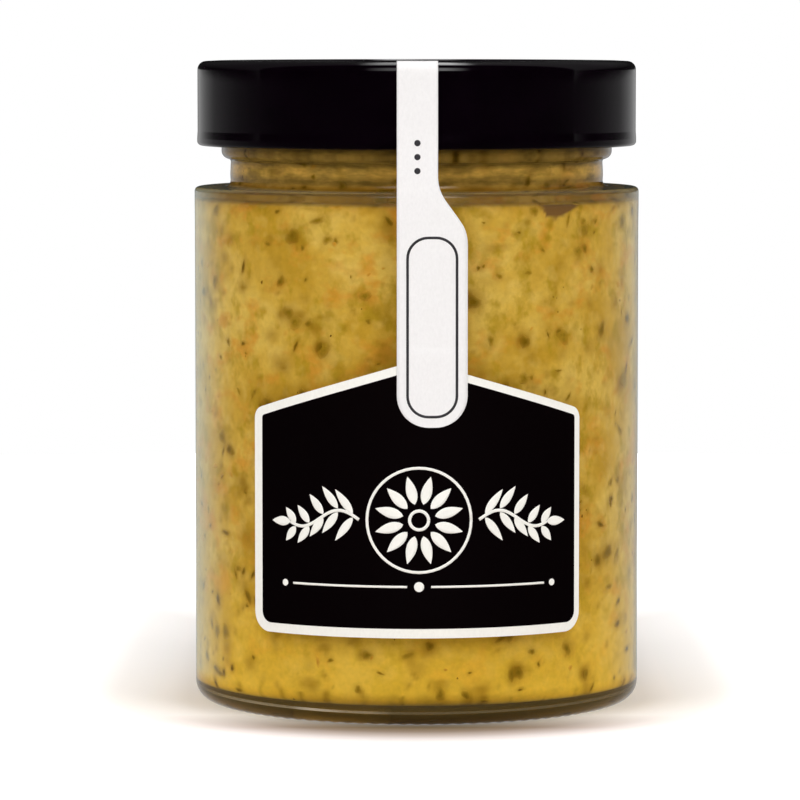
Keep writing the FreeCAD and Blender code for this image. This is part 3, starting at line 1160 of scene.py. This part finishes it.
def make_seal_strip():
    white = paper_material("seal_white", srgb(243, 241, 241), 0.5)
    grey = paper_material("seal_line", srgb(52, 50, 54), 0.5)
    strip = Strip()
    sheet = Quads()
    rows = []
    for along in strip_rows(strip):
        columns = np.linspace(*strip.edges(along), STRIP_COLUMNS)
        rows.append([strip.point(along, across, STRIP_LIFT + PAPER) for across in columns])
    sheet.grid(rows)
    band = new_object("seal_band", sheet.vertices, sheet.faces, white)
    thicken(band, PAPER)
    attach(band, "root")
    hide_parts("seal_strip")
    drawing = strip_print()
    vertices = [strip.point(z, x, STRIP_LIFT + PAPER + INK) for x, z in drawing.vertices]
    lines = new_object("seal_print", vertices, drawing.faces, grey)
    thicken(lines, 2 * INK)
    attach(lines, "root")


# ---- stage

def add_camera():
    data = bpy.data.cameras.new("camera")
    data.lens = CAMERA_LENS
    data.clip_end = 20
    camera = linked("camera", data)
    camera.location = [value * MM for value in CAMERA_PLACE]
    camera.rotation_euler = (math.radians(90 - CAMERA_DOWN), 0, 0)
    bpy.context.scene.camera = camera


def add_lamp(name, place, target, power):
    """A soft area lamp that lights the object but isn't mirrored in the glass or the lacquer."""
    data = bpy.data.lights.new(name, "AREA")
    data.shape = "RECTANGLE"
    data.size, data.size_y = LAMP_SIZE
    data.energy = power
    lamp = linked(name, data)
    lamp.location = place
    direction = lamp.location - Vector(target)
    lamp.rotation_euler = direction.to_track_quat("Z", "Y").to_euler()
    lamp.visible_glossy = False
    lamp.visible_transmission = False


def mirrored_studio(n, x, y, z):
    """What gloss mirrors: a dark room, light behind the jar, one lamp above and one ahead."""
    behind = n.ramp(
        n.math("MULTIPLY_ADD", y, 0.5, 0.5),
        (0.0, 0.004), (0.35, 0.012), (0.5, 0.04), (0.64, 0.085),
        (0.84, 0.2), (0.97, 0.5), (0.985, 0.5), (0.993, 0.2),
    )
    level = n.ramp(n.math("MULTIPLY_ADD", z, 0.5, 0.5), (0.5, 1.0), (0.51, 0.08), (0.53, 0.03))
    behind = n.multiply(behind, level)
    # Sine of the angle round the jar, from its front, at which a direction is mirrored
    flat = n.math("SQRT", n.math("SUBTRACT", 1.0, n.math("MULTIPLY", x, x), clamp=True))
    depth = n.math("MAXIMUM", n.math("SUBTRACT", flat, y), 0.001)
    turned_by = n.math("DIVIDE", n.math("ABSOLUTE", x), depth)
    lean = n.math("DIVIDE", y, n.math("MAXIMUM", z, 0.001))
    lean = n.math("MULTIPLY_ADD", lean, 0.1, 0.5)
    above = n.ramp(lean, (0.49, 0.0), (0.515, 1.0), (0.58, 0.57), (0.75, 0.17), (0.95, 0.0))
    above = n.math("MULTIPLY", above, n.ramp(turned_by, (0.17, 1.0), (0.29, 0.03)))
    rise = n.math("DIVIDE", z, n.math("MAXIMUM", n.math("MULTIPLY", y, -1.0), 0.001))
    ahead = n.ramp(n.math("MULTIPLY", rise, 0.5), (0.07, 0.0), (0.1, 1.0), (0.4, 1.0), (0.65, 0.0))
    ahead = n.math("MULTIPLY", ahead, n.ramp(turned_by, (0.13, 1.0), (0.25, 0.0)))
    lamps = n.math("MULTIPLY_ADD", above, 7.0, n.math("MULTIPLY", ahead, 3.0))
    weaker_left = n.ramp(n.math("ADD", x, 0.5), (0.47, 0.5), (0.53, 1.0))
    return n.mix(1.0, behind, n.math("MULTIPLY", lamps, weaker_left), "ADD")


def add_world():
    """White to the camera, an even dim light for the object, and a studio mirrored in its gloss."""
    world = bpy.data.worlds.new("studio")
    bpy.context.scene.world = world
    n = Nodes(world)
    x, y, z = n.split(n.add("ShaderNodeTexCoord", 0))
    mirrored = n.add("ShaderNodeBackground", Color=mirrored_studio(n, x, y, z), Strength=1.0)
    ambient = n.add("ShaderNodeBackground", Color=(1.0, 0.995, 0.985, 1), Strength=AMBIENT)
    white = n.add("ShaderNodeBackground", Color=(1, 1, 1, 1), Strength=1.0)
    lit = n.mix_shader(n.light_path("Is Glossy Ray"), ambient, mirrored)
    n.surface(n.mix_shader(n.seen(), lit, white), "ShaderNodeOutputWorld")


def floor_material():
    """White floor with a painted warm shadow round the jar's foot, strongest in front, over its traced
    shadow, fading into the white further out.
    """
    made, n = material("studio_floor")
    x, y, _ = n.split(n.place())
    in_front = n.math("MINIMUM", y, 0.0)
    distance = n.math("SQRT", n.math("ADD", n.math("MULTIPLY", x, x), n.math("MULTIPLY", in_front, in_front)))
    reach = n.math("DIVIDE", distance, 100 * MM)
    ahead = n.ramp(n.math("MULTIPLY", y, -20.0), (0.45, 0.0), (0.72, 1.0))
    # Painted shadow: a warm shade by distance from the foot, full in front and none beside
    shade = n.ramp(
        reach,
        (0.34, (0.17, 0.13, 0.08, 1)),
        (0.37, (0.28, 0.22, 0.14, 1)),
        (0.41, (0.42, 0.34, 0.28, 1)),
        (0.45, (0.68, 0.59, 0.55, 1)),
        (0.48, (0.88, 0.82, 0.81, 1)),
        (0.53, 1.0),
    )
    colour = n.multiply((0.9, 0.87, 0.85, 1), n.mix(ahead, (1, 1, 1, 1), shade))
    fade_beside = n.ramp(reach, (0.38, 0.0), (0.42, 0.1), (0.5, 0.22), (0.6, 0.6), (0.7, 1.0))
    fade_ahead = n.ramp(reach, (0.4, 0.0), (0.46, 0.1), (0.56, 0.4), (0.7, 1.0))
    fade_behind = n.ramp(y, (0.09, 0.0), (0.2, 1.0))
    fade = n.math("MAXIMUM", n.mix(ahead, fade_beside, fade_ahead), fade_behind)
    glow = n.add("ShaderNodeEmission", Color=(1, 1, 1, 1), Strength=n.math("MULTIPLY", n.seen(), fade))
    lit = n.add_shader(n.add("ShaderNodeBsdfDiffuse", Color=colour), glow)
    n.surface(n.mix_shader(n.light_path("Is Glossy Ray"), lit, n.add("ShaderNodeBsdfTransparent")))
    return made


def add_floor():
    turn = [2 * math.pi * k / STAGE_SEGMENTS for k in range(STAGE_SEGMENTS)]
    vertices = [(0, 0, 0)] + [(STAGE_RADIUS * math.cos(a), STAGE_RADIUS * math.sin(a), 0) for a in turn]
    faces = [(0, k + 1, (k + 1) % STAGE_SEGMENTS + 1) for k in range(STAGE_SEGMENTS)]
    new_object("studio_floor", vertices, faces, floor_material())


make_glass()
make_spread()
make_lid()
make_label()
make_seal_strip()
add_camera()
add_world()
for lamp in LAMPS:
    add_lamp(*lamp)
add_floor()
